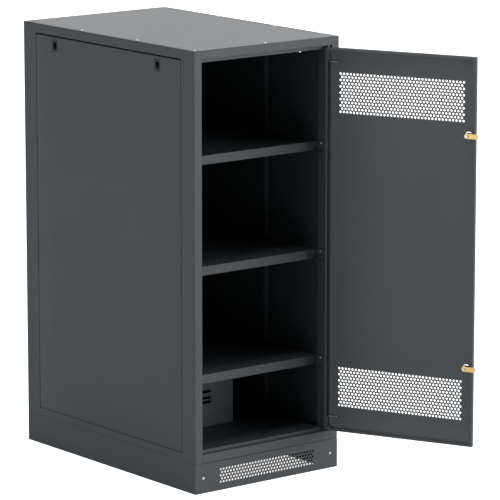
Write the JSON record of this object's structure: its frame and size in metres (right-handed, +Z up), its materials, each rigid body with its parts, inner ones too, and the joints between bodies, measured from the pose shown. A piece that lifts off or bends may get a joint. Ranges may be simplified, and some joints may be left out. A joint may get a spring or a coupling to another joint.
{
  "type": "battery cabinet",
  "caption": "Floor-standing sheet-metal cabinet for batteries, with shelves, a vented plinth and a perforated hinged door with cam locks.",
  "frame": {"origin": "centre of the footprint on the floor, at the middle of the four anchor holes", "axes": "+X to the right seen from the door side, +Y to the back, +Z up"},
  "size_m": [0.791, 1.4481, 1.461],
  "materials": {
    "grey_paint": "fine-textured satin powder coat, dark grey",
    "zinc_steel": "bright zinc-plated steel",
    "yellow_zinc": "yellow passivated zinc plate",
    "black_plastic": "matt black moulding"
  },
  "bodies": {
    "cabinet": {"floor_plate": "grey_paint", "front_fascia": "grey_paint", "front_sill": "grey_paint", "latch_body_left_front": "black_plastic", "latch_body_left_rear": "black_plastic", "latch_body_right_front": "black_plastic", "latch_body_right_rear": "black_plastic", "plinth_front": "grey_paint", "plinth_left": "grey_paint", "plinth_rear": "grey_paint", "plinth_right": "grey_paint", "plinth_screws": "zinc_steel", "post_front_left": "grey_paint", "post_front_right": "grey_paint", "post_rear_left": "grey_paint", "post_rear_right": "grey_paint", "rail_rear_bottom": "grey_paint", "rail_rear_top": "grey_paint", "rear_panel": "grey_paint", "rear_screws": "zinc_steel", "roof": "grey_paint", "roof_screws": "zinc_steel", "shelf_bearer_lower_left": "grey_paint", "shelf_bearer_lower_right": "grey_paint", "shelf_bearer_middle_left": "grey_paint", "shelf_bearer_middle_right": "grey_paint", "shelf_bearer_upper_left": "grey_paint", "shelf_bearer_upper_right": "grey_paint", "shelf_lower": "grey_paint", "shelf_middle": "grey_paint", "shelf_screws": "zinc_steel", "shelf_upper": "grey_paint", "side_panel_left": "grey_paint", "side_panel_right": "grey_paint", "side_rail_bottom_left": "grey_paint", "side_rail_bottom_right": "grey_paint", "side_rail_top_left": "grey_paint", "side_rail_top_right": "grey_paint", "terminal_cover": "grey_paint", "upright_left": "grey_paint", "upright_right": "grey_paint"},
    "door": {"door_panel": "grey_paint", "hinge_guide_lower": "grey_paint", "hinge_guide_upper": "grey_paint", "lock_barrel_lower": "zinc_steel", "lock_barrel_upper": "zinc_steel", "lock_nut_lower": "zinc_steel", "lock_nut_upper": "zinc_steel"},
    "cam_lower": {"lock_cam_lower": "yellow_zinc", "lock_core_lower": "yellow_zinc"},
    "cam_upper": {"lock_cam_upper": "yellow_zinc", "lock_core_upper": "yellow_zinc"},
    "pin_lower": {"hinge_pin_lower": "zinc_steel"},
    "pin_upper": {"hinge_pin_upper": "zinc_steel"},
    "latch_left_front": {"latch_slider_left_front": "black_plastic"},
    "latch_left_rear": {"latch_slider_left_rear": "black_plastic"},
    "latch_right_front": {"latch_slider_right_front": "black_plastic"},
    "latch_right_rear": {"latch_slider_right_rear": "black_plastic"}
  },
  "joints": [
    {"name": "door_hinge", "type": "hinge", "parent": "cabinet", "child": "door", "pos_m": [0.2608, -0.4695, 0.78], "axis": [0, 0, 1], "range_deg": [-115.3, 0]},
    {"name": "cam_lower_turn", "type": "hinge", "parent": "door", "child": "cam_lower", "pos_m": [0.47533, -0.92335, 0.396], "axis": [0.9041, 0.4274, 0], "range_deg": [0, 90]},
    {"name": "cam_upper_turn", "type": "hinge", "parent": "door", "child": "cam_upper", "pos_m": [0.47533, -0.92335, 1.168], "axis": [0.9041, 0.4274, 0], "range_deg": [0, 90]},
    {"name": "pin_lower_slide", "type": "slide", "parent": "door", "child": "pin_lower", "axis": [0, 0, 1], "range_m": [0, 0.008], "stiffness_N_per_m": 800, "springref_m": -0.005},
    {"name": "pin_upper_slide", "type": "slide", "parent": "door", "child": "pin_upper", "axis": [0, 0, -1], "range_m": [0, 0.008], "stiffness_N_per_m": 800, "springref_m": -0.005},
    {"name": "latch_left_front_slide", "type": "slide", "parent": "cabinet", "child": "latch_left_front", "axis": [0, 0, -1], "range_m": [0, 0.01], "stiffness_N_per_m": 600, "springref_m": -0.005},
    {"name": "latch_left_rear_slide", "type": "slide", "parent": "cabinet", "child": "latch_left_rear", "axis": [0, 0, -1], "range_m": [0, 0.01], "stiffness_N_per_m": 600, "springref_m": -0.005},
    {"name": "latch_right_front_slide", "type": "slide", "parent": "cabinet", "child": "latch_right_front", "axis": [0, 0, -1], "range_m": [0, 0.01], "stiffness_N_per_m": 600, "springref_m": -0.005},
    {"name": "latch_right_rear_slide", "type": "slide", "parent": "cabinet", "child": "latch_right_rear", "axis": [0, 0, -1], "range_m": [0, 0.01], "stiffness_N_per_m": 600, "springref_m": -0.005}
  ]
}
